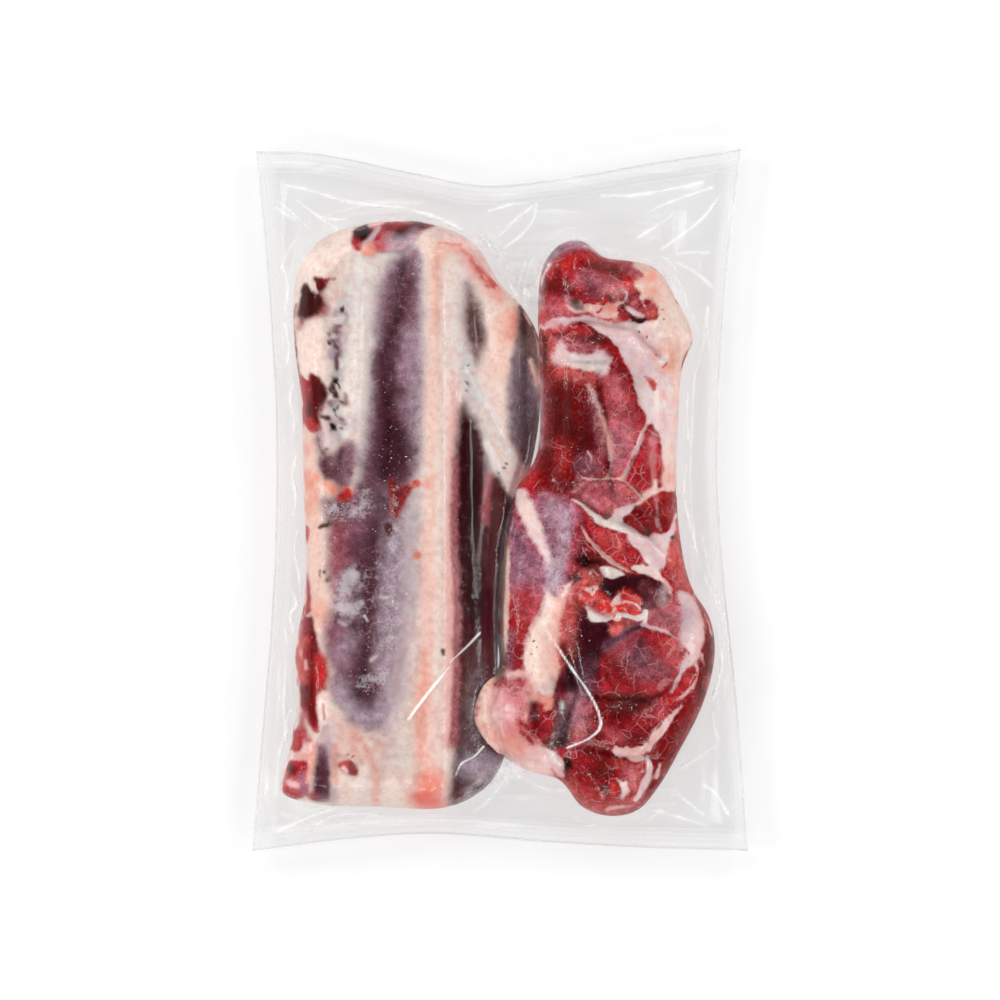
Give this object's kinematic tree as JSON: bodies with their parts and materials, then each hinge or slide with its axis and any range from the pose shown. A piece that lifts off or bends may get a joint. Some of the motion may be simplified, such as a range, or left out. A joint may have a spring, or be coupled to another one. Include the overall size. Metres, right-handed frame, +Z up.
{
  "type": "vacuum-packed raw mutton loin",
  "caption": "Raw mutton loin, a rib slab and a boned piece side by side, shrunk tight in a clear flat pouch with sealed edges.",
  "frame": {"origin": "on the table under the middle of the pouch: the centre of the bounding box's underside", "axes": "+Y along the pouch towards the end with the notch between the two pieces, +X across it towards the boned piece, +Z up, away from the table"},
  "size_m": [0.247, 0.35, 0.0426],
  "materials": {
    "raw_meat": "wet raw lean and pale fat seen through clear film, glossy",
    "clear_film": "clear glossy vacuum film with fine creases and ribbed heat seals"
  },
  "bodies": {
    "root": {"sealed_pack": "raw_meat"}
  },
  "joints": []
}
